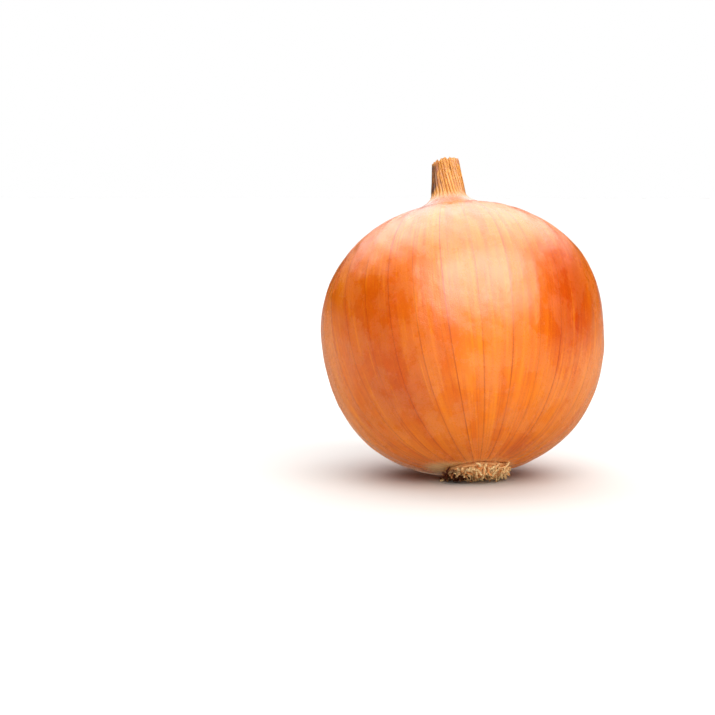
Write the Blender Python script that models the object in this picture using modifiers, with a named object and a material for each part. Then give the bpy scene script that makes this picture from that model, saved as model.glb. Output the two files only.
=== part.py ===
"""A whole brown-skinned onion, resting as it would on a table, leaning back on its root end.

The onion grew as one piece, so it is one solid: a full round bulb whose dry skin draws in at the
top to a short dried neck, and a low plate of cropped roots underneath. It is turned about its own
axis, leaned over to the way it rests, and flattened a little where it touches the table.

Run it with: blender --background --python part.py
Metres, +Z up, table at Z = 0, with the middle of the resting spot at the origin.
"""

import math

import bmesh
import bpy
from mathutils import Matrix, Vector

# The bulb, measured from its widest level along its own axis
BULB_RADIUS = 0.0380
SHOULDER_RISE = 0.0320
ROOT_DROP = 0.0406
SHOULDER_FULLNESS = 2.10  # 2 is an ellipse, more is squarer
ROOT_FULLNESS = 2.28

# The dried neck, and the flare that carries the shoulder up into it
NECK_TIP_RISE = 0.0147  # above the top that the bulb would have without a neck
NECK_FOOT_RISE = 0.0056
NECK_TIP_RADIUS = 0.0036
NECK_FOOT_RADIUS = 0.0046
NECK_TIP_ROUNDING = 0.0005
FLARE_RADIUS = 0.0170

# The plate of cropped roots
PLATE_RADIUS = 0.0088
PLATE_DEPTH = 0.0010
PLATE_CROWN = 0.0005

# How it rests: leaning back and to the left, on a small flattened spot
LEAN_BACK = math.radians(21.5)
LEAN_LEFT = math.radians(5.5)
CENTRE_HEIGHT = 0.0405  # less than the bulb's own reach below its centre, by the depth of the spot
CENTRE_BEHIND_SPOT = 0.0009
CENTRE_LEFT_OF_SPOT = 0.0002

# Facets
STEPS_AROUND = 64
SHOULDER_POINTS = 13
ROOT_POINTS = 15
FLARE_POINTS = 8
CUTTER_SIDE = 0.2

SKIN_COLOUR = (0.72, 0.29, 0.07, 1.0)


def clear_scene():
    for obj in list(bpy.data.objects):
        bpy.data.objects.remove(obj)


def new_collection(name):
    collection = bpy.data.collections.new(name)
    bpy.context.scene.collection.children.link(collection)
    return collection


def bulb_point(angle, rise, fullness):
    """A point of the bulb's outline, a superellipse, at an angle above its widest level."""
    power = 2.0 / fullness
    radius = BULB_RADIUS * math.cos(angle) ** power
    return radius, rise * math.sin(angle) ** power


def bulb_angle(radius, fullness):
    """The angle above the widest level at which the bulb has this radius."""
    return math.acos((radius / BULB_RADIUS) ** (fullness / 2.0))


def flare_outline():
    """The flare from the neck's foot down to the shoulder: a curve that leaves the neck upright
    and meets the shoulder at the shoulder's own slope."""
    angle = bulb_angle(FLARE_RADIUS, SHOULDER_FULLNESS)
    radius, height = bulb_point(angle, SHOULDER_RISE, SHOULDER_FULLNESS)
    across, up = radius / BULB_RADIUS, height / SHOULDER_RISE
    slope = SHOULDER_RISE / BULB_RADIUS * (across / up) ** (SHOULDER_FULLNESS - 1)
    foot = Vector((NECK_FOOT_RADIUS, SHOULDER_RISE + NECK_FOOT_RISE))
    bend = Vector((NECK_FOOT_RADIUS, height + slope * (radius - NECK_FOOT_RADIUS)))
    shoulder = Vector((radius, height))
    outline = []
    for step in range(FLARE_POINTS + 1):
        t = step / FLARE_POINTS
        outline.append(tuple(foot * (1 - t) ** 2 + bend * 2 * t * (1 - t) + shoulder * t ** 2))
    return outline

def neck_outline():
    """The neck's cut tip, as (radius, height), from the middle to the start of its side."""
    tip = SHOULDER_RISE + NECK_TIP_RISE
    return [
        (0.0, tip),
        (NECK_TIP_RADIUS - NECK_TIP_ROUNDING, tip),
        (NECK_TIP_RADIUS, tip - NECK_TIP_ROUNDING),
    ]

def shoulder_outline():
    """The upper half of the bulb, from just outside the neck's flare down to the widest level."""
    start = bulb_angle(FLARE_RADIUS, SHOULDER_FULLNESS)
    return [
        bulb_point(start * (1 - step / SHOULDER_POINTS), SHOULDER_RISE, SHOULDER_FULLNESS)
        for step in range(1, SHOULDER_POINTS + 1)
    ]

def root_outline():
    """The lower half of the bulb, and the root plate that stands out of its foot."""
    end = bulb_angle(PLATE_RADIUS, ROOT_FULLNESS)
    outline = []
    for step in range(1, ROOT_POINTS + 1):
        radius, drop = bulb_point(end * step / ROOT_POINTS, ROOT_DROP, ROOT_FULLNESS)
        outline.append((radius, -drop))
    plate_face = -(ROOT_DROP + PLATE_DEPTH)
    outline.append((PLATE_RADIUS, plate_face + PLATE_CROWN))
    outline.append((PLATE_RADIUS - PLATE_CROWN, plate_face))
    outline.append((0.0, plate_face))
    return outline


def turned_onion(collection):
    """The onion as a solid of revolution about its own axis, with its widest level at height 0."""
    outline = neck_outline() + flare_outline() + shoulder_outline() + root_outline()
    mesh = bpy.data.meshes.new("onion")
    edges = [(index, index + 1) for index in range(len(outline) - 1)]
    mesh.from_pydata([(radius, 0.0, height) for radius, height in outline], edges, [])
    onion = bpy.data.objects.new("onion", mesh)
    collection.objects.link(onion)
    screw = onion.modifiers.new("turn", "SCREW")
    screw.axis = "Z"
    screw.steps = STEPS_AROUND
    screw.render_steps = STEPS_AROUND
    screw.use_merge_vertices = True
    screw.merge_threshold = 0.00005
    screw.use_smooth_shade = True
    return onion


def resting_place():
    """Where the bulb's centre goes, and how its axis leans, for the onion to rest on the table."""
    lean = Matrix.Rotation(-LEAN_LEFT, 4, "Y") @ Matrix.Rotation(-LEAN_BACK, 4, "X")
    centre = Vector((-CENTRE_LEFT_OF_SPOT, CENTRE_BEHIND_SPOT, CENTRE_HEIGHT))
    return Matrix.Translation(centre) @ lean


def table_cutter(collection):
    """A block just under the table's surface, which flattens the spot that the onion rests on."""
    mesh = bpy.data.meshes.new("table_cutter")
    shape = bmesh.new()
    bmesh.ops.create_cube(shape, size=CUTTER_SIDE)
    bmesh.ops.translate(shape, verts=shape.verts, vec=(0.0, 0.0, -CUTTER_SIDE / 2))
    shape.to_mesh(mesh)
    shape.free()
    cutter = bpy.data.objects.new("table_cutter", mesh)
    cutter.hide_render = True
    cutter.display_type = "WIRE"
    collection.objects.link(cutter)
    return cutter


def skin_material():
    material = bpy.data.materials.new("dry_onion_skin")
    material.use_nodes = True
    shader = material.node_tree.nodes["Principled BSDF"]
    shader.inputs["Base Color"].default_value = SKIN_COLOUR
    shader.inputs["Roughness"].default_value = 0.42
    shader.inputs["Metallic"].default_value = 0.0
    material.diffuse_color = SKIN_COLOUR
    return material


def main():
    clear_scene()
    onion = turned_onion(new_collection("onion"))
    onion.matrix_world = resting_place()
    onion.data.materials.append(skin_material())
    flatten = onion.modifiers.new("resting_spot", "BOOLEAN")
    flatten.operation = "DIFFERENCE"
    flatten.solver = "EXACT"
    flatten.object = table_cutter(new_collection("cutters"))


main()
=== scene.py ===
# A whole brown onion at rest on a pale table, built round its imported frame. Metres, +Z up.
# The onion is worked out in its own frame, axis upright and centre at its widest level, and
# placeOnTable() then leans it over to how it rests.

import math

import bpy
import numpy as np
from mathutils import Matrix, Vector


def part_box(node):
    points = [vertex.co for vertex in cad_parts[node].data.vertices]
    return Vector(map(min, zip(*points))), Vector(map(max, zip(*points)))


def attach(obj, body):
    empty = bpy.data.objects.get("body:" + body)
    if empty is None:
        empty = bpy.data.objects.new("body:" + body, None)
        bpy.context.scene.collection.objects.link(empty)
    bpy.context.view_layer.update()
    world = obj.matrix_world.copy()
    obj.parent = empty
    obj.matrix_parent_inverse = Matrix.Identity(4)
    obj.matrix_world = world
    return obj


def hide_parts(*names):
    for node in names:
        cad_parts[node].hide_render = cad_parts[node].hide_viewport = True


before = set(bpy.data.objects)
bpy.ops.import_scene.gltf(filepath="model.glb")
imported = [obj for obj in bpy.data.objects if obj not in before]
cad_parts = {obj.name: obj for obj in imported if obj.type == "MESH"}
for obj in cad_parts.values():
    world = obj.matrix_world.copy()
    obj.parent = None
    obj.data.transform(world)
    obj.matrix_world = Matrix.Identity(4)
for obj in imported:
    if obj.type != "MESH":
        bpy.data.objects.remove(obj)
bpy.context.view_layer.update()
onionLow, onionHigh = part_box("onion")

mm = 0.001
bulbRadius = (onionHigh.x - onionLow.x) / 2     # the other sizes of the bulb are shares of this
front = -math.pi / 2                            # the angle round the onion that faces the viewer
seam = math.pi / 2                              # where the surfaces begin and end, at the back

onion = {
    "shoulderRise": 0.842 * bulbRadius,
    "rootDrop": 1.067 * bulbRadius,
    "shoulderFullness": 2.10,                   # 2 is an ellipse, more is squarer
    "rootFullness": 2.28,
    "neckTip": 1.226 * bulbRadius,
    "neckFoot": 0.988 * bulbRadius,
    "neckTipRadius": 3.6 * mm,
    "neckFootRadius": 4.6 * mm,
    "flareRadius": 0.447 * bulbRadius,
    "plateRadius": 8.8 * mm,
    "leanBack": math.radians(21.5),
    "leanLeft": math.radians(5.5),
    "centre": Vector((-0.2 * mm, 0.9 * mm, 40.5 * mm)),
}


def smoothStep(low, high, x):
    # 0 below low, 1 above high, with an even S between
    t = np.clip((x - low) / (high - low), 0.0, 1.0)
    return t * t * (3 - 2 * t)


def bump(x, centre, width):
    # a bell round centre, 1 at the middle
    return np.exp(-((x - centre) / width) ** 2)


def fromAngle(theta, degrees):
    # how many degrees theta is from a place that many degrees round from the viewer's side
    turn = theta - front - math.radians(degrees)
    return np.degrees((turn + math.pi) % (2 * math.pi) - math.pi)


def ripple(theta, along, rng, terms, around, rise):
    # a sum of cosines round the onion and along it, with whole waves round it so that it closes;
    # around and rise give the fewest and most waves, and the sum stays within about 1
    total = 0.0
    for _ in range(terms):
        waves = rng.integers(around[0], around[1] + 1)
        climb = rng.uniform(rise[0], rise[1]) * rng.choice([-1, 1])
        total = total + np.cos(waves * theta + climb * along + rng.uniform(0, 2 * math.pi))
    return total / math.sqrt(terms) * 0.7


def placeOnTable(points):
    # leans points from the onion's own frame to how it rests; nothing goes below the table
    lean = Matrix.Rotation(-onion["leanLeft"], 3, "Y") @ Matrix.Rotation(-onion["leanBack"], 3, "X")
    placed = points @ np.array(lean).T + np.array(onion["centre"])
    placed[..., 2] = np.maximum(placed[..., 2], 0.05 * mm)
    return placed


def newObject(name, verts, faces, material):
    mesh = bpy.data.meshes.new(name)
    mesh.from_pydata(verts.tolist(), [], faces)
    mesh.shade_smooth()
    mesh.materials.append(material)
    piece = bpy.data.objects.new(name, mesh)
    bpy.context.scene.collection.objects.link(piece)
    return piece


def turnedSurface(name, grid, material, closeRows=False, poles=None):
    # a grid of rows that run down the onion and columns that run round it. The columns close on
    # themselves, and the rows end in two poles, or close on themselves too, as round a thin wall.
    rows, columns = grid.shape[:2]
    index = np.arange(rows * columns).reshape(rows, columns)
    right = np.roll(index, -1, axis=1)
    below, belowRight = np.roll(index, -1, axis=0), np.roll(right, -1, axis=0)
    last = rows if closeRows else rows - 1
    faces = np.stack([index, below, belowRight, right], axis=-1)[:last].reshape(-1, 4).tolist()
    verts = [grid.reshape(-1, 3)]
    if poles is not None:
        verts += [pole.reshape(1, 3) for pole in poles]
        tip, foot = np.full(columns, rows * columns), np.full(columns, rows * columns + 1)
        faces += np.stack([tip, index[0], right[0]], axis=-1).tolist()
        faces += np.stack([foot, right[-1], index[-1]], axis=-1).tolist()
    return newObject(name, placeOnTable(np.concatenate(verts)), faces, material)


def strands(name, paths, radii, sides, material):
    # many thin closed tubes at once: paths is (strand, ring, 3) and radii is (strand, ring). Each
    # ring is a circle square to the path, and the first and last are closed with a flat face.
    count, rings = radii.shape
    along = np.gradient(paths, axis=1)
    along /= np.linalg.norm(along, axis=2, keepdims=True)
    # every ring starts from one fixed direction, so a strand that swings close to it twists there
    across = np.cross(along, np.array([0.36, 0.48, 0.8]))
    across /= np.linalg.norm(across, axis=2, keepdims=True)
    up = np.cross(along, across)
    turn = (np.arange(sides) * 2 * math.pi / sides)[None, None, :, None]
    ring = across[:, :, None, :] * np.cos(turn) + up[:, :, None, :] * np.sin(turn)
    verts = paths[:, :, None, :] + ring * radii[:, :, None, None]
    index = np.arange(count * rings * sides).reshape(count, rings, sides)
    beside = np.roll(index, -1, axis=2)
    quads = np.stack([index[:, :-1], beside[:, :-1], beside[:, 1:], index[:, 1:]], axis=-1)
    faces = quads.reshape(-1, 4).tolist() + index[:, 0, ::-1].tolist() + index[:, -1].tolist()
    return newObject(name, verts.reshape(-1, 3), faces, material)


def addPointValue(piece, name, values):
    # a number, or a vector, for each vertex, which the material reads by name
    kind, field = ("FLOAT_VECTOR", "vector") if values.ndim == 2 else ("FLOAT", "value")
    layer = piece.data.attributes.new(name, kind, "POINT")
    layer.data.foreach_set(field, values.astype(np.float32).ravel())


def hexColour(code):
    # an sRGB hex colour turned to linear
    parts = [int(code[i:i + 2], 16) / 255 for i in (1, 3, 5)]
    return [p / 12.92 if p <= 0.04045 else ((p + 0.055) / 1.055) ** 2.4 for p in parts] + [1.0]


def addNode(tree, kind, settings=None, inputs=None):
    node = tree.nodes.new(kind)
    for name, value in (settings or {}).items():
        setattr(node, name, value)
    for key, value in (inputs or {}).items():
        if isinstance(value, bpy.types.NodeSocket):
            tree.links.new(value, node.inputs[key])
        else:
            node.inputs[key].default_value = value
    return node


def newMaterial(name, plainValues):
    material = bpy.data.materials.new(name)
    material.use_nodes = True
    tree = material.node_tree
    shader = tree.nodes["Principled BSDF"]
    for socket, value in plainValues.items():
        shader.inputs[socket].default_value = value
    return material, tree, shader


def outerProfile():
    # the outline from the neck's tip down to the edge of the root plate, as (radius, height):
    # a tapering neck, a curve that leaves it upright and meets the shoulder at its own slope,
    # and two superellipses, one above the widest level and one below it
    o = onion
    neckEnds = np.array([[o["neckTipRadius"], o["neckTip"]], [o["neckFootRadius"], o["neckFoot"]]])
    t = np.linspace(0, 1, 40)[:, None]
    neckLine = neckEnds[0] * (1 - t) + neckEnds[1] * t
    n, radius, rise = o["shoulderFullness"], bulbRadius, o["shoulderRise"]
    start = math.acos((o["flareRadius"] / radius) ** (n / 2))
    angle = np.linspace(start, 0, 200)
    shoulder = np.stack([radius * np.cos(angle) ** (2 / n), rise * np.sin(angle) ** (2 / n)], axis=1)
    across, up = shoulder[0] / (radius, rise)
    slope = rise / radius * (across / up) ** (n - 1)
    corner = np.array([neckEnds[1, 0], shoulder[0, 1] + slope * (shoulder[0, 0] - neckEnds[1, 0])])
    t = np.linspace(0, 1, 80)[:, None]
    flare = neckEnds[1] * (1 - t) ** 2 + corner * 2 * t * (1 - t) + shoulder[0] * t ** 2
    n, drop = o["rootFullness"], o["rootDrop"]
    angle = np.linspace(0, math.acos((o["plateRadius"] / radius) ** (n / 2)), 240)
    root = np.stack([radius * np.cos(angle) ** (2 / n), -drop * np.sin(angle) ** (2 / n)], axis=1)
    return np.concatenate([neckLine[:-1], flare[:-1], shoulder[:-1], root])


neck = {
    "bend": 0.55 * mm,            # how far it leans to the right at its tip
    "flatness": 0.10,             # how much thinner it is from front to back
    "pleats": 27,                 # folds gathered into it
    "pleatDepth": 0.30 * mm,
    "twist": 0.55,                # how far the pleats turn on their way down, in radians
    "crease": 0.07 * mm,          # fine creases between the pleats
    "gathers": (0.62, 1.16),      # where the pleats start and are full, in shoulder rises
    "twists": (1.5, 0.9),         # where their turn starts and is full
    "raggedTip": 0.40 * mm,
    "tipSlant": (0.8, 2.6),       # how far the cut tip slants, in ragged tips, and which way
    "straw": (33.0, 37.0),        # levels in mm where the skin turns to neck
    "leaves": 5,
    "leafShares": (0.84, 0.16),   # the outer leaf's share of the neck's width, and the step inwards
    "leafCrinkle": 0.13,
    "leafSink": 0.75 * mm,        # how far the leaves' tips lie below the neck's
    "leafTear": 0.40 * mm,
    "leafWall": 0.16 * mm,
    "leafColumns": 150,
    "leafRows": 12,
    "leafSeed": 40,
    "leafShade": 0.15,            # how much browner each leaf is than the one round it
    "fibres": 150,
    "fibreRings": 8,
    "fibreSides": 5,
    "fibreRadius": (0.06 * mm, 0.14 * mm),
    "fibreSpan": (0.2, 0.6),      # shares of the neck's length
    "fibreLift": (-0.10 * mm, 0.12 * mm),
    "fibreSink": 0.25 * mm,
    "fibreSeed": 61,
    "fibresBrownAndShade": (-70, 40),     # where the fibres are browner and how wide, in degrees: the neck's left side, partly painted shade
    "stainEdge": 2,               # over how many mm of level the stained places and the painted shade fade, which are listed like the skin's broad stretches
    # which are listed like the skin's broad stretches
    "browned": [(-42, 28, 39.0, 46, 1.0), (66, 24, 36, 47, 0.8), (150, 40, 38, 50, 0.7)],
    # nearly black-brown: on the neck's left side, away from the key, painted shade over its own dark
    # brown, and a dark patch at the back
    "darkAndShade": [(-74, 32, 37.5, 46, 1.0), (172, 16, 40, 50, 0.7)],
}


def bentOver(ring, theta, level):
    # points round the axis; towards the neck's tip they lean to the right and draw in front to back
    bend = smoothStep(0.85 * onion["shoulderRise"], onion["neckTip"], level)
    shift = neck["bend"] * (0.55 * bend + 0.45 * np.sqrt(bend))
    deep = ring * np.sin(theta) * (1 - neck["flatness"] * bend)
    return np.stack(np.broadcast_arrays(ring * np.cos(theta) + shift, deep, level), axis=-1)


veins = {
    "count": 31,                  # main veins round the onion
    "shift": 0.05,                # turns them all, in spacings
    "wander": 0.16,               # how far a vein strays from its meridian, in spacings
    "ridge": 0.030 * mm,          # how far a vein stands proud
    "ridgeWidth": 0.55 * mm,
    "hollow": 0.05 * mm,          # how far the skin sinks midway between two veins
    "fade": (0.15, 0.6),          # they die out where the girth is below these shares of the widest
    "seed": 11,
}


def veinPhase(theta, down):
    # counts veins from the seam: whole numbers lie on veins. It grows evenly with the angle, plus a
    # slow wander that dies out at the seam, so it always runs from 0 to the number of veins.
    turn = (theta - seam) / (2 * math.pi)
    rng = np.random.default_rng(veins["seed"])
    wander = ripple(theta, down, rng, 7, (2, 9), (0.6, 3.2)) * veins["wander"]
    return veins["count"] * turn + wander * np.sin(math.pi * turn) ** 2


skin = {
    "columns": 384,
    "rows": 236,
    "lumps": 0.22 * mm,           # slow unevenness of the whole bulb
    "dents": 0.055 * mm,          # small hollows a few mm wide, which break up the gleam
    "wrinkle": 0.012 * mm,        # fine wrinkles that run with the veins
    "shirring": 0.10 * mm,        # folds where the skin is drawn in at the root
    "bodyTop": (1.05, 0.70),      # the lumps and dents fade in between these, in shoulder rises,
    "bodyFoot": (-1.22, -0.95),   # at the neck and at the root
    "drawnIn": (-1.08, -1.24),
    "shoulderAt": (0.55, 0.42),   # how high the shoulders lie, and over what span
    "crowding": 0.9,              # how much closer the rows lie near the neck's tip,
    "crowdedTo": (36 * mm, 18 * mm),    # easing off over this way down from it
    "rightShoulder": 0.45 * mm,   # the right shoulder is fuller than the left
    "leftShoulder": 0.50 * mm,
    "paleReach": 11.2,            # how far out the pale base reaches round the roots, in mm
    "paleMore": (4.6, -72, 34),   # how much further on one side, where that is and how wide, in degrees
    "paleEdge": 4.0,              # over how many mm it fades
    "sheenTop": (23, 35),          # levels in mm over which a pinkish painted sheen grows towards the neck
    "edgeSoftness": {"redder": 9, "deeperAndShade": 9, "duller": 3.5, "scorched": 1.2},    # in mm of level
    "seed": 5,
    # broad stretches, each (degrees round from the viewer's side, width in degrees, lowest level,
    # highest level, how much), with levels in mm over the widest part
    "redder": [(47, 18, -19, 13, 1.0), (112, 14, -26, 8, 0.6), (168, 18, -12, 20, 0.7),
               (-128, 12, -28, 6, 0.8), (-84, 10, -18, 14, 0.35)],
    # deeper orange; the stretch on the front left, at -36 degrees, is painted shade as well
    "deeperAndShade": [(-36, 23, -34, 9, 1.0), (-20, 12, -40, -34, 0.7), (100, 20, -30, 10, 0.8),
               (-170, 30, -25, 12, 0.8)],
    "duller": [(-6, 200, -60, -26, 0.4), (3, 13, -27, -19, 0.8), (-8, 10, -36, -30, 0.7),
               (140, 26, -14, 4, 0.7), (-150, 30, -4, 14, 0.8), (62, 30, -38, -16, 0.75)],
    "scorched": [(44, 15, -39.2, -36.0, 1.0), (-160, 12, -38, -33, 0.8)],
}


def stretches(theta, level, listed, soft):
    # the largest of several bells round the onion, each faded in and out over soft mm of level
    total = 0.0 * (theta + level)
    for degrees, width, low, high, amount in listed:
        rises = smoothStep(low - soft, low + soft, level) * smoothStep(high + soft, high - soft, level)
        total = np.maximum(total, amount * bump(fromAngle(theta, degrees), 0, width) * rises)
    return total


def skinGrid():
    # the outer skin as (row, column) points in the onion's own frame. Each point is the outline's
    # point turned round the axis and moved along the outline's normal by a relief: slow lumps and
    # small dents, a fuller right shoulder, a ridge on each vein with a shallow hollow between, and
    # pleats that deepen towards the neck. The tip is cut at a ragged slant. Returns the points, and
    # what the skin's colours depend on.
    rng = np.random.default_rng(skin["seed"])
    outline = outerProfile()
    arc = np.concatenate([[0], np.cumsum(np.linalg.norm(np.diff(outline, axis=0), axis=1))])
    crowding = 1 + skin["crowding"] * smoothStep(*skin["crowdedTo"], arc)
    density = np.cumsum(np.gradient(arc) * crowding)
    at = np.interp(np.linspace(density[0], density[-1], skin["rows"]), density, arc)
    radius = np.interp(at, arc, outline[:, 0])[:, None]
    height = np.interp(at, arc, outline[:, 1])[:, None]
    slopeR, slopeH = np.gradient(radius[:, 0], at)[:, None], np.gradient(height[:, 0], at)[:, None]
    theta = (seam + np.arange(skin["columns"]) * 2 * math.pi / skin["columns"])[None, :]
    down = at[:, None] / bulbRadius

    rise = height / onion["shoulderRise"]
    body = smoothStep(*skin["bodyTop"], rise) * smoothStep(*skin["bodyFoot"], rise)
    relief = skin["lumps"] * body * ripple(theta, down, rng, 9, (1, 4), (0.4, 2.2))
    dents = ripple(theta, down, rng, 22, (14, 40), (8, 34))
    relief = relief + skin["dents"] * body * dents
    side = np.cos(theta)
    fuller = skin["rightShoulder"] * np.maximum(side, 0) ** 1.5
    slimmer = skin["leftShoulder"] * np.maximum(-side, 0) ** 1.5
    relief = relief + bump(rise, *skin["shoulderAt"]) * (fuller - slimmer)

    phase = veinPhase(theta, down)
    spacing = 2 * math.pi * radius / veins["count"]
    off = np.abs((phase + veins["shift"]) - np.round(phase + veins["shift"]))    # in spacings
    ridge = np.exp(-(off * spacing / veins["ridgeWidth"]) ** 2)
    hollow = np.sin(math.pi * np.clip(off, 0, 0.5)) ** 2
    fade = smoothStep(*veins["fade"], radius / bulbRadius)
    relief = relief + fade * (veins["ridge"] * ridge - veins["hollow"] * hollow)
    relief = relief + fade * skin["wrinkle"] * ripple(theta, down, rng, 14, (40, 90), (0.5, 5.0))

    gather = smoothStep(*neck["gathers"], rise)
    turned = theta - neck["twist"] * smoothStep(*neck["twists"], rise)
    wave = ripple(theta, down, rng, 5, (1, 4), (1.0, 6.0))
    fold = np.abs(np.sin(0.5 * neck["pleats"] * turned + 1.3 * wave)) ** 0.7 - 0.62
    crease = ripple(turned, down, rng, 10, (30, 60), (2.0, 12.0))
    relief = relief + gather ** 1.6 * (neck["pleatDepth"] * fold + neck["crease"] * crease)
    # the pleats' folded-in grooves, where the neck's colour is darkened as painted shade
    grooveShade = smoothStep(0.05, -0.40, fold + 0.22 * crease)
    drawn = smoothStep(*skin["drawnIn"], rise)
    relief = relief + drawn * skin["shirring"] * ripple(theta, down, rng, 8, (26, 52), (0.2, 1.5))

    ring = radius - slopeH * relief
    level = height + slopeR * relief
    tipward = smoothStep(onion["neckFoot"] * 0.97, onion["neckTip"], level)
    slant, slantWay = neck["tipSlant"]
    ragged = 0.7 * ripple(theta, 0 * down, rng, 10, (4, 22), (0.0, 0.1))
    ragged = ragged - slant * np.cos(theta - slantWay)
    level = level + tipward ** 3 * neck["raggedTip"] * ragged
    shape = {"theta": theta, "down": down, "radius": radius, "level": height / mm, "phase": phase,
             "grooveShade": grooveShade}
    return bentOver(ring, theta, level), shape


def closeSkin(grid):
    # rows that turn in over the neck's tip, down to a pole inside it, and in under the root plate
    tip, foot = grid[0], grid[-1]
    tipMiddle, footMiddle = tip.mean(axis=0), foot.mean(axis=0)
    above = []
    for share, sink in ((0.55, 1.9 * mm), (0.80, 1.5 * mm), (0.90, 0.5 * mm), (0.96, 0.06 * mm)):
        ring = tipMiddle + (tip - tipMiddle) * share
        ring[:, 2] = tip[:, 2] * share + tipMiddle[2] * (1 - share) - sink
        above.append(ring)
    under = footMiddle + (foot - footMiddle) * 0.5
    grid = np.concatenate([np.array(above), grid, under[None]])
    return grid, (tipMiddle - [0, 0, 2.0 * mm], footMiddle), len(above)


film = {
    # patterns, each (whether it runs with the veins, its stretch, its size in mm, detail, roughness).
    # Skin cells are 0.05 by 0.3 mm, and are drawn coarser, so that their grain shows.
    "patterns": {
        "cloud": (True, (1, 1, 0.55), 22, 3.0, 0.55),
        "bands": (True, (1, 1, 0.09), 4.2, 3.0, 0.60),
        "streaks": (True, (1, 1, 0.035), 0.70, 2.0, 0.60),
        "fibres": (True, (1, 1, 0.05), 0.30, 1.0, 0.50),
        "patchy": (True, (1, 1, 0.90), 7.6, 2.0, 0.50),
        "cells": (False, (1, 1, 1), 0.29, 2.0, 0.75),
        "lifted": (False, (1, 1, 0.8), 8.0, 5.0, 0.62),
        "blotch": (False, (1, 1, 1), 5.0, 4.0, 0.60),
        "stain": (False, (1, 1, 0.5), 2.4, 4.0, 0.70),
    },
    "base": "#F88A08",
    # colours laid one over another, each (pattern, where it starts, where it is full, how much,
    # where on the onion it shows or None for all over, colour). veinDistance and minorDistance are
    # in mm.
    "layers": [
        ("cloud", 0.38, 0.64, 1.0, None, "#F27A04"),
        ("bands", 0.44, 0.66, 0.60, None, "#E05A00"),
        ("bands", 0.10, 0.42, 1.0, "redder", "#C63A00"),
        ("streaks", 0.42, 0.64, 0.55, "redder", "#B02A00"),
        # deeper orange streaks, with painted shade on the front left as well
        ("streaks", 0.05, 0.36, 0.95, "deeperAndShade", "#C64A00"),
        ("streaks", 0.42, 0.62, 0.44, None, "#D05404"),
        ("streaks", 0.46, 0.26, 0.34, None, "#FC9C1C"),
        ("blotch", 0.38, 0.62, 0.60, "duller", "#F08C44"),
        ("lifted", 0.46, 0.60, 0.12, None, "#F49430"),
        ("streaks", 0.36, 0.56, 0.70, "scorched", "#C44606"),
        ("cells", 0.50, 0.62, 0.15, None, "#C04C04"),
        ("cells", 0.50, 0.38, 0.15, None, "#FFAA38"),
        ("minorDistance", 0.24, 0.04, 0.34, "minorShown", "#B84408"),
        ("veinDistance", 0.24, 0.06, 0.78, "veinShown", "#AA3406"),
        # a pinkish painted sheen on the top, towards the neck
        ("streaks", 0.00, 0.45, 0.94, "paintedSheen", "#D49E8E"),
        ("streaks", 0.78, 0.44, 0.90, "pale", "#E6C084"),
    ],
    "straw": "#E49E30",
    # the same for the neck
    "neckLayers": [
        ("fibres", 0.40, 0.62, 0.45, None, "#CC7620"),
        ("cells", 0.52, 0.68, 0.30, None, "#BC6C1E"),
        # painted shade in the grooves between the neck's pleats
        ("grooveShade", 0.45, 1.00, 0.75, None, "#94480E"),
        ("stain", 0.50, 0.66, 0.35, None, "#B05A16"),
        ("stain", 0.38, 0.56, 0.90, "browned", "#A4500A"),
        # nearly black-brown, with painted shade on the neck's left side
        ("darkAndShade", 0.20, 0.70, 0.95, None, "#4E1C04"),
    ],
    # roughness, each (pattern, from, to, roughness there, roughness here), added up
    "gloss": [("lifted", 0.43, 0.57, 0.18, 0.31), ("cells", 0.35, 0.65, -0.05, 0.05),
              ("neck", 0.0, 1.0, 0.0, 0.24)],
    # relief, each (pattern, strength, height in mm)
    "relief": [("cells", 0.65, 0.09), ("streaks", 0.35, 0.10), ("fibres", 0.20, 0.05),
               ("blotch", 0.45, 0.40)],
    # how veins vary, each (what by, from, to, strength there, strength here): each by itself, each
    # along its way, and the minor ones in bands
    "veinStrength": [("ownStrength", "own", 0.0, 1.0, 0.60, 1.0),
                     ("along", "patchy", 0.30, 0.60, 0.55, 1.0),
                     ("minorShown", "bands", 0.46, 0.66, 0.0, 1.0)],
    "plain": {"IOR": 1.60, "Specular IOR Level": 1.0},    # several films, so it gleams twice as much
}


def layColours(tree, value, base, layers):
    # base with each layer's colour mixed over it where its pattern and its place both say so
    colour = hexColour(base)
    for pattern, start, full, most, place, code in layers:
        share = addNode(tree, "ShaderNodeMapRange", {"interpolation_type": "SMOOTHSTEP"}, {
            "Value": value[pattern], "From Min": start, "From Max": full, "To Max": most}).outputs[0]
        if place is not None:
            share = addNode(tree, "ShaderNodeMath", {"operation": "MULTIPLY"}, {
                0: share, 1: value[place]}).outputs[0]
        colour = addNode(tree, "ShaderNodeMix", {"data_type": "RGBA"}, {
            0: share, 6: colour, 7: hexColour(code)}).outputs[2]
    return colour


def addPatterns(tree, value, patterns, vectors):
    # a noise for each pattern; one that runs with the veins is measured in bulb radii
    for name, (withVeins, stretch, size, detail, rough) in patterns.items():
        mapped = addNode(tree, "ShaderNodeMapping", inputs={
            "Vector": vectors[withVeins], "Scale": stretch})
        unit = bulbRadius if withVeins else 1.0
        value[name] = addNode(tree, "ShaderNodeTexNoise", inputs={
            "Vector": mapped.outputs[0], "Scale": unit / (size * mm), "Detail": detail,
            "Roughness": rough}).outputs["Fac"]


def addRelief(tree, shader, value, relief):
    # bumps laid one over another
    normal = None
    for pattern, strength, height in relief:
        inputs = {"Strength": strength, "Distance": height * mm, "Height": value[pattern]}
        if normal is not None:
            inputs["Normal"] = normal
        normal = addNode(tree, "ShaderNodeBump", inputs=inputs).outputs[0]
    tree.links.new(normal, shader.inputs["Normal"])


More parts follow.
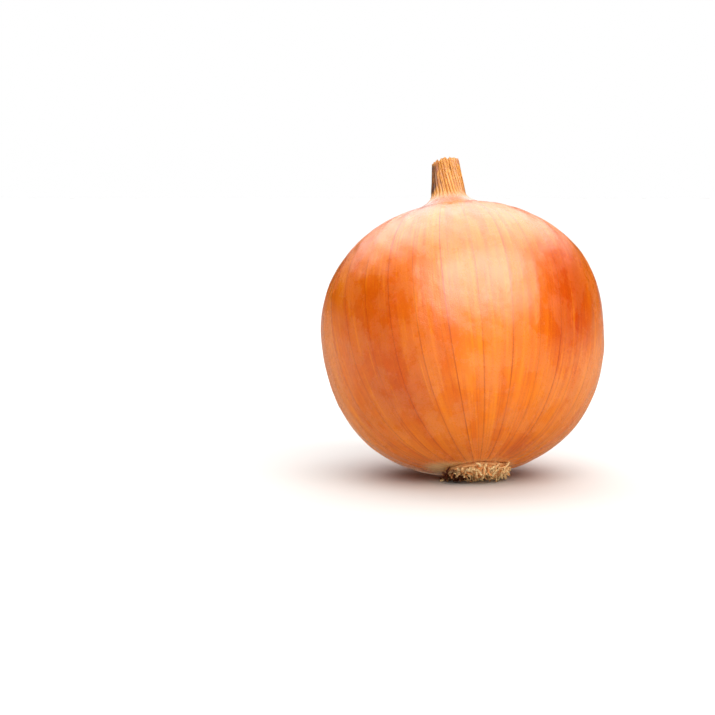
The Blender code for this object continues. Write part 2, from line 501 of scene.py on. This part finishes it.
def makeSkinMaterial():
    # dry papery skin: the bulb's dead outermost scales, dried to thin amber films over the flesh.
    # It gives the eye a warm orange that deepens in long streaks, fine red-brown veins, and a broad
    # satin gleam that its cells break into grain and that is duller where the top film has lifted.
    material, tree, shader = newMaterial("dry papery skin", film["plain"])
    value = {}
    for name in ("girth", "redder", "deeperAndShade", "duller", "paintedSheen", "scorched", "pale", "neck", "grooveShade",
                 "browned", "darkAndShade"):
        value[name] = addNode(tree, "ShaderNodeAttribute", {"attribute_name": name}).outputs["Fac"]
    flow = addNode(tree, "ShaderNodeAttribute", {"attribute_name": "flow"}).outputs["Vector"]
    place = addNode(tree, "ShaderNodeTexCoord").outputs["Object"]
    addPatterns(tree, value, film["patterns"], {True: flow, False: place})

    # the distance to the nearest vein in mm: the vein count times the spacing round the bulb. Minor
    # veins lie two to a spacing and wander with the clouds.
    skinMap = addNode(tree, "ShaderNodeUVMap", {"uv_map": "OFBake"})
    across = addNode(tree, "ShaderNodeSeparateXYZ", inputs={0: skinMap.outputs[0]}).outputs["X"]
    count = addNode(tree, "ShaderNodeMath", {"operation": "MULTIPLY_ADD"}, {
        0: across, 1: float(veins["count"]), 2: veins["shift"]}).outputs[0]
    between = addNode(tree, "ShaderNodeMath", {"operation": "MULTIPLY_ADD"}, {
        0: count, 1: 2.0, 2: value["cloud"]}).outputs[0]
    spacing = 2 * math.pi * bulbRadius / mm / veins["count"]
    for name, phase, width in (("veinDistance", count, spacing),
                               ("minorDistance", between, spacing / 2)):
        off = addNode(tree, "ShaderNodeMath", {"operation": "PINGPONG"}, {0: phase, 1: 0.5}).outputs[0]
        girth = addNode(tree, "ShaderNodeMath", {"operation": "MULTIPLY"}, {0: value["girth"], 1: width})
        value[name] = addNode(tree, "ShaderNodeMath", {"operation": "MULTIPLY"}, {
            0: off, 1: girth.outputs[0]}).outputs[0]
    # each vein has its own strength, and fades in and out along its way
    nearest = addNode(tree, "ShaderNodeMath", {"operation": "ROUND"}, {0: count}).outputs[0]
    which = addNode(tree, "ShaderNodeMath", {"operation": "MODULO"}, {
        0: nearest, 1: float(veins["count"])})
    value["own"] = addNode(tree, "ShaderNodeTexWhiteNoise", {"noise_dimensions": "1D"}, {
        "W": which.outputs[0]}).outputs["Value"]
    for name, source, low, high, least, most in film["veinStrength"]:
        value[name] = addNode(tree, "ShaderNodeMapRange", inputs={
            "Value": value[source], "From Min": low, "From Max": high, "To Min": least,
            "To Max": most}).outputs[0]
    value["veinShown"] = addNode(tree, "ShaderNodeMath", {"operation": "MULTIPLY"}, {
        0: value["ownStrength"], 1: value["along"]}).outputs[0]

    colour = addNode(tree, "ShaderNodeMix", {"data_type": "RGBA"}, {
        0: value["neck"], 6: layColours(tree, value, film["base"], film["layers"]),
        7: layColours(tree, value, film["straw"], film["neckLayers"])})
    tree.links.new(colour.outputs[2], shader.inputs["Base Color"])
    rough = 0.0
    for pattern, low, high, there, here in film["gloss"]:
        share = addNode(tree, "ShaderNodeMapRange", {"interpolation_type": "SMOOTHSTEP"}, {
            "Value": value[pattern], "From Min": low, "From Max": high, "To Min": there, "To Max": here})
        rough = addNode(tree, "ShaderNodeMath", {"operation": "ADD"}, {
            0: rough, 1: share.outputs[0]}).outputs[0]
    tree.links.new(rough, shader.inputs["Roughness"])
    addRelief(tree, shader, value, film["relief"])
    return material


def makeSkin(material):
    grid, shape = skinGrid()
    grid, poles, above = closeSkin(grid)
    theta, level, radius = shape["theta"], shape["level"], shape["radius"]
    piece = turnedSurface("papery_skin", grid, material, poles=poles)

    round01 = 2 * math.pi * shape["phase"] / veins["count"]
    onNeck = smoothStep(*neck["straw"], level)
    more, moreAt, moreWidth = skin["paleMore"]
    reach = skin["paleReach"] + more * bump(fromAngle(theta, moreAt), 0, moreWidth)
    wavyLevel = level + 2.5 * np.cos(3 * theta) + 1.5 * np.cos(7 * theta + 1)    # an uneven edge
    values = {
        "girth": radius / bulbRadius,                        # a share of the widest
        "paintedSheen": smoothStep(*skin["sheenTop"], wavyLevel),    # painted sheen on the top, towards the neck
        "pale": smoothStep(reach, reach - skin["paleEdge"], radius / mm) * (level < 0),
        "neck": onNeck,
        "grooveShade": shape["grooveShade"] * onNeck,                  # painted shade between the neck's pleats
        "browned": stretches(theta, level, neck["browned"], neck["stainEdge"]),
        "darkAndShade": stretches(theta, level, neck["darkAndShade"], neck["stainEdge"]),
    }
    for name, soft in skin["edgeSoftness"].items():
        values[name] = stretches(theta, level, skin[name], soft)

    def everyVertex(rowValues):
        # for every row, the turned-in ones taking their neighbour's, and for the two poles
        full = np.broadcast_to(rowValues, (skin["rows"], skin["columns"]))
        full = np.concatenate([np.repeat(full[:1], above, 0), full, full[-1:]])
        return np.concatenate([full.ravel(), [full[0].mean()], [full[-1].mean()]])

    for name, rowValues in values.items():
        addPointValue(piece, name, everyVertex(rowValues))
    flow = [everyVertex(part) for part in (np.cos(round01), np.sin(round01), shape["down"])]
    addPointValue(piece, "flow", np.stack(flow, axis=1))
    addSkinMap(piece, shape, above)
    return piece


def addSkinMap(piece, shape, above):
    # the map's first number counts veins round the onion from 0 to 1, and its second runs down it.
    # The first jumps at the seam, so the map is worked out face corner by face corner.
    columns, margin = skin["columns"], 0.04
    mapU = np.concatenate([shape["phase"], np.full((skin["rows"], 1), float(veins["count"]))], axis=1)
    mapU[:, 0] = 0.0
    mapU = np.concatenate([np.repeat(mapU[:1], above, 0), mapU, mapU[-1:]]) / veins["count"]
    mapV = shape["down"][:, 0] / shape["down"].max()
    mapV = np.concatenate([np.linspace(0.1, 0.9, above) * margin, margin + (1 - 2 * margin) * mapV,
                           [1 - margin / 2]])
    i, j = np.meshgrid(np.arange(len(mapV) - 1), np.arange(columns), indexing="ij")
    corners = [(i, j), (i + 1, j), (i + 1, j + 1), (i, j + 1)]
    maps = [np.stack([np.stack([mapU[a, b], mapV[a]], axis=-1) for a, b in corners], axis=2)]
    j = np.arange(columns)
    for row, end, first, second in ((0, 0.0, j, j + 1), (-1, 1.0, j + 1, j)):
        middle = (mapU[row, j] + mapU[row, j + 1]) / 2
        fan = [(middle, end), (mapU[row, first], mapV[row]), (mapU[row, second], mapV[row])]
        maps.append(np.stack([np.stack([u, 0 * u + v], axis=-1) for u, v in fan], axis=1))
    layer = piece.data.uv_layers.new(name="OFBake")
    layer.data.foreach_set("uv", np.concatenate([m.ravel() for m in maps]).astype(np.float32))


leaf = {
    # each (whether it runs with the veins, its stretch, its size in mm, detail, roughness)
    "patterns": {
        "fibre": (False, (1, 1, 0.08), 0.35, 3.0, 0.50),
        "tone": (False, (1, 1, 1), 2.0, 3.0, 0.50),
    },
    "base": "#F0B058",
    "layers": [("fibre", 0.35, 0.65, 0.85, None, "#BC6E1E"), ("tone", 0.50, 0.68, 0.70, None, "#8A4818"),
               ("shade", 0.0, 1.0, 0.65, None, "#6E3412")],
    "relief": [("fibre", 0.6, 0.12)],
}


def makeLeafMaterial():
    # dried neck leaf: the stubs of the green leaves, withered to straw. Dull, fibrous and yellow,
    # browner where it is torn, and browner down the neck's left side, where that is partly painted
    # shade.
    material, tree, shader = newMaterial("dried neck leaf", {"Roughness": 0.68, "IOR": 1.45})
    place = addNode(tree, "ShaderNodeTexCoord").outputs["Object"]
    # turned back by the onion's lean, to within half a degree, so that the fibres run up the neck
    upright = addNode(tree, "ShaderNodeMapping", inputs={
        "Vector": place, "Rotation": (onion["leanBack"], onion["leanLeft"], 0)}).outputs[0]
    value = {"shade": addNode(tree, "ShaderNodeAttribute", {"attribute_name": "shade"}).outputs["Fac"]}
    addPatterns(tree, value, leaf["patterns"], {False: upright})
    tree.links.new(layColours(tree, value, leaf["base"], leaf["layers"]), shader.inputs["Base Color"])
    addRelief(tree, shader, value, leaf["relief"])
    return material


def makeNeckLeaves(material):
    # the cut ends of the inner leaves: thin crinkled tubes, one inside the other, each a wall of
    # even thickness whose top is torn to its own height
    pieces = []
    for layer in range(neck["leaves"]):
        rng = np.random.default_rng(neck["leafSeed"] + layer)
        share = neck["leafShares"][0] - neck["leafShares"][1] * layer
        theta = (seam + np.arange(neck["leafColumns"]) * 2 * math.pi / neck["leafColumns"])[None, :]
        climb = np.linspace(0, 1, neck["leafRows"])[:, None]
        tear = neck["leafTear"] * ripple(theta, 0, rng, 7, (3, 19), (0, 0.1))
        top = onion["neckTip"] - neck["leafSink"] + tear
        level = onion["neckFoot"] + (top - onion["neckFoot"]) * climb
        crinkle = ripple(theta, 3 * climb, rng, 9, (5, 17), (0.4, 2.5))
        outer = onion["neckTipRadius"] * share * (1 + neck["leafCrinkle"] * crinkle)
        walls = np.concatenate([outer[::-1], outer - neck["leafWall"]])      # down outside, up inside
        levels = np.concatenate([level[::-1], level])
        leafGrid = bentOver(walls, theta, levels)
        piece = turnedSurface(f"neck_leaf_{layer + 1}", leafGrid, material, closeRows=True)
        addPointValue(piece, "shade", np.full(len(piece.data.vertices), neck["leafShade"] * layer))
        pieces.append(piece)
    return pieces


def makeNeckFibres(material):
    # dried strands that lie along the neck, each a thin tapered tube that follows its side and
    # turns with the pleats
    rng = np.random.default_rng(neck["fibreSeed"])
    count, rings, sides = neck["fibres"], neck["fibreRings"], neck["fibreSides"]
    theta = rng.uniform(0, 2 * math.pi, (count, 1))
    start = rng.uniform(0.0, 0.80, (count, 1))
    end = np.minimum(start + rng.uniform(*neck["fibreSpan"], (count, 1)), 1.0)
    t = start + (end - start) * np.linspace(0, 1, rings)[None, :]
    tip = onion["neckTip"] - neck["fibreSink"]
    level = onion["neckFoot"] + (tip - onion["neckFoot"]) * t
    ring = onion["neckFootRadius"] + (onion["neckTipRadius"] - onion["neckFootRadius"]) * t
    ring = ring + rng.uniform(*neck["fibreLift"], (count, 1))
    swing = theta - neck["twist"] * 0.8 * t + 0.08 * np.sin(3 * t + rng.uniform(0, 6, (count, 1)))
    thin = np.sin(math.pi * np.linspace(0.06, 0.94, rings))[None, :] ** 0.5
    radii = rng.uniform(*neck["fibreRadius"], (count, 1)) * thin
    paths = placeOnTable(bentOver(ring, swing, level))
    piece = strands("neck_fibres", paths, radii, sides, material)
    # the fibres are browner round the neck's left side, partly painted shade
    brownAt, brownWidth = neck["fibresBrownAndShade"]
    shade = rng.uniform(0, 0.6, count) + 0.8 * bump(fromAngle(theta[:, 0], brownAt), 0, brownWidth)
    addPointValue(piece, "shade", np.repeat(np.clip(shade, 0, 1), rings * sides))
    return piece


roots = {
    "stubs": 420,
    "rings": 7,
    "sides": 5,
    "splay": (18, 24, 48),                # in degrees: middle, spread, and how much more at the rim
    "rotAt": (-82, 46),                   # where the rotten clump lies and how wide, in degrees
    "plateTone": 0.75,
    "plateRot": 0.35,
    "length": (1.1 * mm, 3.2 * mm),
    "thickness": (0.20 * mm, 0.46 * mm),
    "plateFace": -1.095 * bulbRadius,     # the plate's face, along the onion's axis
    "plateDepth": 2.2 * mm,
    "plateColumns": 120,
    "plateRows": 30,
    "plateKnob": 0.25 * mm,
    "plateSeed": 71,
    "stubStart": 0.35 * mm,               # how deep in the plate the stubs start
    "stubCurl": 2.2,                      # how far a stub bends along its length, in radians,
    "stubTurn": 1.4,                      # and how far round
    "stubTaper": 0.45,
    "stubSwell": 0.18,                    # how knobbly a stub is, as a share of its thickness
    "stubSeed": 83,
    "patterns": {"grain": (False, (1, 1, 1), 0.30, 3.0, 0.65)},
    "base": "#FFDFA4",
    "layers": [("tone", 0.3, 1.0, 0.9, None, "#F0A05A"),
               ("grain", 0.52, 0.70, 0.40, None, "#B0662C"),
               ("rot", 0.25, 0.95, 1.0, None, "#5A2810")],
    "relief": [("grain", 0.7, 0.12)],
}


def makeRootMaterial():
    # dried root: cropped roots, shrivelled to cream and tan cork, nearly black-brown where they rot
    material, tree, shader = newMaterial("dried root", {"Roughness": 0.75, "IOR": 1.45})
    value = {}
    for name in ("tone", "rot"):
        value[name] = addNode(tree, "ShaderNodeAttribute", {"attribute_name": name}).outputs["Fac"]
    place = addNode(tree, "ShaderNodeTexCoord").outputs["Object"]
    addPatterns(tree, value, roots["patterns"], {False: place})
    tree.links.new(layColours(tree, value, roots["base"], roots["layers"]), shader.inputs["Base Color"])
    addRelief(tree, shader, value, roots["relief"])
    return material


def makeRootPlate(material):
    # a low knobbly disc: a half turn of a flattened circle, so a flat face, a round rim and a back
    # sunk in the bulb
    rng = np.random.default_rng(roots["plateSeed"])
    columns = roots["plateColumns"]
    theta = (seam + np.arange(columns) * 2 * math.pi / columns)[None, :]
    t = np.linspace(0.02, 0.98, roots["plateRows"])[:, None]
    knobs = ripple(theta, 9 * t, rng, 12, (3, 22), (0.5, 3.0))
    ring = onion["plateRadius"] * 0.95 * np.sin(math.pi * t) ** 0.35 * (1 + 0.05 * knobs)
    level = roots["plateFace"] + roots["plateDepth"] / 2 * (1 + np.cos(math.pi * t))
    level = level - roots["plateKnob"] * knobs * smoothStep(0.3, 0.6, t)
    grid = np.stack([ring * np.cos(theta), ring * np.sin(theta), level], axis=-1)
    poles = grid[0].mean(axis=0), grid[-1].mean(axis=0)
    piece = turnedSurface("root_plate", grid, material, poles=poles)
    count = len(piece.data.vertices)
    addPointValue(piece, "tone", np.full(count, roots["plateTone"]))
    addPointValue(piece, "rot", np.full(count, roots["plateRot"]))
    return piece


def makeRootStubs(material):
    # cropped roots: short tapered tubes that leave the plate along the axis, splay outwards and
    # curl. They are spread evenly over the plate by the golden angle.
    rng = np.random.default_rng(roots["stubSeed"])
    count, rings = roots["stubs"], roots["rings"]
    order = (np.arange(count) + 0.5) / count
    out = np.sqrt(order) * onion["plateRadius"] * 0.99
    theta = np.arange(count) * math.pi * (3 - math.sqrt(5)) + rng.normal(0, 0.12, count)
    length = rng.uniform(*roots["length"], count) * (1 - 0.2 * order)
    middle, spread, rimMore = roots["splay"]
    splay = np.radians(rng.normal(middle, spread, count) + rimMore * order ** 2)
    heading = theta + rng.normal(0, 0.9, count)
    t = np.linspace(0, 1, rings)[None, :]
    lean = splay[:, None] + rng.normal(0, roots["stubCurl"], (count, 1)) * t
    twist = heading[:, None] + rng.normal(0, roots["stubTurn"], (count, 1)) * t
    step = length[:, None] / (rings - 1)
    sideways = np.cumsum(np.sin(lean) * step, axis=1) - np.sin(lean[:, :1]) * step
    along = np.cumsum(np.cos(lean) * step, axis=1) - np.cos(lean[:, :1]) * step
    x = (out * np.cos(theta))[:, None] + sideways * np.cos(twist)
    y = (out * np.sin(theta))[:, None] + sideways * np.sin(twist)
    z = roots["plateFace"] + roots["stubStart"] - along
    paths = placeOnTable(np.stack([x, y, z], axis=-1))
    thick = rng.uniform(*roots["thickness"], (count, 1))
    knobbly = np.sin(9 * t + rng.uniform(0, 6, (count, 1)))
    radii = thick * (1 - roots["stubTaper"] * t) * (1 + roots["stubSwell"] * knobbly)
    paths[..., 2] = np.maximum(paths[..., 2], radii + 0.06 * mm)     # clear of the table
    piece = strands("root_stubs", paths, radii, roots["sides"], material)
    each = rings * roots["sides"]
    addPointValue(piece, "tone", np.repeat(rng.uniform(0, 1, count), each))
    rotAt, rotWidth = roots["rotAt"]
    patchy = smoothStep(0.10, 0.7, rng.uniform(0, 1, count) + 0.3 * order)
    rotten = bump(fromAngle(theta, rotAt), 0, rotWidth) * patchy
    rot = np.clip(0.16 * rng.uniform(0, 1, count) + rotten, 0, 1)
    base = np.broadcast_to(0.25 * (1 - t), (count, rings)).ravel()    # darker by the plate
    rot = np.repeat(rot, each) + np.repeat(base, roots["sides"])
    addPointValue(piece, "rot", np.clip(rot, 0, 1))
    return piece


studio = {
    "board": "#D8D7D5",
    "paintedGlow": 0.30,                           # painted light: the board glows, though it is no lamp, behind the onion
    "paintedGlowCentre": (0.0, 250 * mm, 0.0),     # the unlit patch's middle is this far in front of it
    "paintedGlowFrom": (230 * mm, 480 * mm),
    "boardHalf": 3.0,
    "key": {"toward": (0.19, -0.63, 0.745), "distance": 0.80, "width": 1.20, "height": 0.63,
            "power": 9.2, "colour": "#FFFBF6"},
    "fill": {"toward": (0.05, -0.99, 0.05), "distance": 0.50, "width": 0.60, "height": 0.08,
             "power": 0.55, "colour": "#FFF6EC"},
    "underTint": "#F2D2B4",                 # the table under and beside the onion takes its colour
    "canopyToward": (0.0, 0.5, 0.866),      # the middle of the white canopy, above and behind
    "canopyEdge": (0.56, 0.95),             # cosines from its middle where it starts and is full
    "canopy": 2.75,
    "horizon": (0.02, -0.10),               # heights of a direction between which the table begins
    "tableAhead": 0.16,                     # how bright the skin mirrors the table in front of it,
    "tableBehind": 0.90,                    # behind it,
    "tableUnder": 0.25,                     # and straight below, in its own shadow
    "frontToBack": (-0.75, 0.60),
    "shadowFrom": (-0.12, -0.70),
    "lens": 100,
    "sensor": 36,
    "tilt": math.radians(6.0),
    "distance": 14.09 * bulbRadius,
    "aimLeft": 27.9 * mm,                   # the onion stands right of the picture's middle
    "aimBelow": 9.0 * mm,
}


def makeFloor():
    # matt table: pale acrylic, with no gleam, and a painted glow, though it is no lamp, over all but a
    # patch under the onion
    material, tree, shader = newMaterial("matt table with painted glow", {
        "Base Color": hexColour(studio["board"]), "Roughness": 0.85, "Emission Color": (1, 1, 1, 1)})
    place = addNode(tree, "ShaderNodeTexCoord").outputs["Object"]
    moved = addNode(tree, "ShaderNodeMapping", inputs={
        "Vector": place, "Location": studio["paintedGlowCentre"]})
    away = addNode(tree, "ShaderNodeVectorMath", {"operation": "LENGTH"}, {
        0: moved.outputs[0]}).outputs["Value"]
    paintedGlow = addNode(tree, "ShaderNodeMapRange", {"interpolation_type": "SMOOTHSTEP"}, {
        "Value": away, "From Min": studio["paintedGlowFrom"][0], "From Max": studio["paintedGlowFrom"][1],
        "To Max": studio["paintedGlow"]})
    tree.links.new(paintedGlow.outputs[0], shader.inputs["Emission Strength"])
    size = studio["boardHalf"]
    verts = np.array([(-size, -size, 0), (size, -size, 0), (size, size, 0), (-size, size, 0)])
    floor = newObject("table", verts, [(0, 1, 2, 3)], material)
    floor.visible_glossy = False          # the skin mirrors the world's own lower half in its place


def makeSoftbox(name, box):
    light = bpy.data.lights.new(name, "AREA")
    light.shape = "RECTANGLE"
    light.size, light.size_y = box["width"], box["height"]
    light.energy = box["power"]
    light.color = hexColour(box["colour"])[:3]
    lamp = bpy.data.objects.new(name, light)
    toward = Vector(box["toward"]).normalized()
    lamp.location = onion["centre"] + toward * box["distance"]
    lamp.rotation_euler = (-toward).to_track_quat("-Z", "Y").to_euler()
    bpy.context.scene.collection.objects.link(lamp)
    return lamp


def makeLamps():
    # a wide softbox, above and right of the viewer, and a low one that fills in under the onion's
    # front and is kept out of its gleam
    makeSoftbox("key softbox", studio["key"])
    makeSoftbox("low fill", studio["fill"]).visible_glossy = False


def makeWorld():
    # a dim room with a white canopy above and behind the onion, so that the orange stays deep where
    # the skin mirrors the front; the camera itself sees plain white
    world = bpy.data.worlds.new("white studio")
    world.use_nodes = True
    tree = world.node_tree
    tree.nodes.clear()
    way = addNode(tree, "ShaderNodeTexCoord").outputs["Generated"]
    facing = addNode(tree, "ShaderNodeVectorMath", {"operation": "DOT_PRODUCT"}, {
        0: way, 1: studio["canopyToward"]}).outputs["Value"]
    low, high = studio["canopyEdge"]
    canopy = addNode(tree, "ShaderNodeMapRange", {"interpolation_type": "SMOOTHSTEP"}, {
        "Value": facing, "From Min": low, "From Max": high, "To Max": studio["canopy"]})
    # what the skin mirrors of the table: dim in front and in the onion's shadow, paler behind
    split = addNode(tree, "ShaderNodeSeparateXYZ", inputs={0: way})
    below = addNode(tree, "ShaderNodeMapRange", inputs={
        "Value": split.outputs["Z"], "From Min": studio["horizon"][0],
        "From Max": studio["horizon"][1]})
    behind = addNode(tree, "ShaderNodeMapRange", {"interpolation_type": "SMOOTHSTEP"}, {
        "Value": split.outputs["Y"], "From Min": studio["frontToBack"][0],
        "From Max": studio["frontToBack"][1],
        "To Min": studio["tableAhead"], "To Max": studio["tableBehind"]})
    shadow = addNode(tree, "ShaderNodeMapRange", {"interpolation_type": "SMOOTHSTEP"}, {
        "Value": split.outputs["Z"], "From Min": studio["shadowFrom"][0],
        "From Max": studio["shadowFrom"][1], "To Min": 1.0, "To Max": studio["tableUnder"]})
    lower = addNode(tree, "ShaderNodeMath", {"operation": "MULTIPLY"}, {
        0: below.outputs[0], 1: shadow.outputs[0]})
    board = addNode(tree, "ShaderNodeMath", {"operation": "MULTIPLY_ADD"}, {
        0: lower.outputs[0], 1: behind.outputs[0], 2: canopy.outputs[0]})
    tint = addNode(tree, "ShaderNodeMix", {"data_type": "RGBA"}, {
        0: below.outputs[0], 6: (1, 1, 1, 1), 7: hexColour(studio["underTint"])})
    lit = addNode(tree, "ShaderNodeBackground", inputs={
        "Color": tint.outputs[2], "Strength": board.outputs[0]})
    seen = addNode(tree, "ShaderNodeBackground", inputs={"Color": (1, 1, 1, 1), "Strength": 1.0})
    camera = addNode(tree, "ShaderNodeLightPath").outputs["Is Camera Ray"]
    full = addNode(tree, "ShaderNodeMixShader", inputs={
        0: camera, 1: lit.outputs[0], 2: seen.outputs[0]})
    addNode(tree, "ShaderNodeOutputWorld", inputs={"Surface": full.outputs[0]})
    bpy.context.scene.world = world
    bpy.context.scene.view_settings.view_transform = "Standard"


def makeCamera():
    tilt = studio["tilt"]
    up = Vector((0, math.sin(tilt), math.cos(tilt)))
    ahead = Vector((0, math.cos(tilt), -math.sin(tilt)))
    aim = onion["centre"] - Vector((studio["aimLeft"], 0, 0)) - up * studio["aimBelow"]
    data = bpy.data.cameras.new("camera")
    data.lens = studio["lens"]
    data.sensor_width = studio["sensor"]
    camera = bpy.data.objects.new("camera", data)
    camera.location = aim - ahead * studio["distance"]
    camera.rotation_euler = ahead.to_track_quat("-Z", "Y").to_euler()
    bpy.context.scene.collection.objects.link(camera)
    bpy.context.scene.camera = camera


makeCamera()
makeFloor()
makeLamps()
makeWorld()
print("stage: camera, table and lights are in place")
pieces = [makeSkin(makeSkinMaterial())]
print("stage: skin made,", len(pieces[0].data.polygons), "faces")
leafMaterial = makeLeafMaterial()
pieces += makeNeckLeaves(leafMaterial)
pieces.append(makeNeckFibres(leafMaterial))
print("stage: neck made")
rootMaterial = makeRootMaterial()
pieces.append(makeRootPlate(rootMaterial))
pieces.append(makeRootStubs(rootMaterial))
print("stage: roots made")
for piece in pieces:
    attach(piece, "root")
    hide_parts("onion")
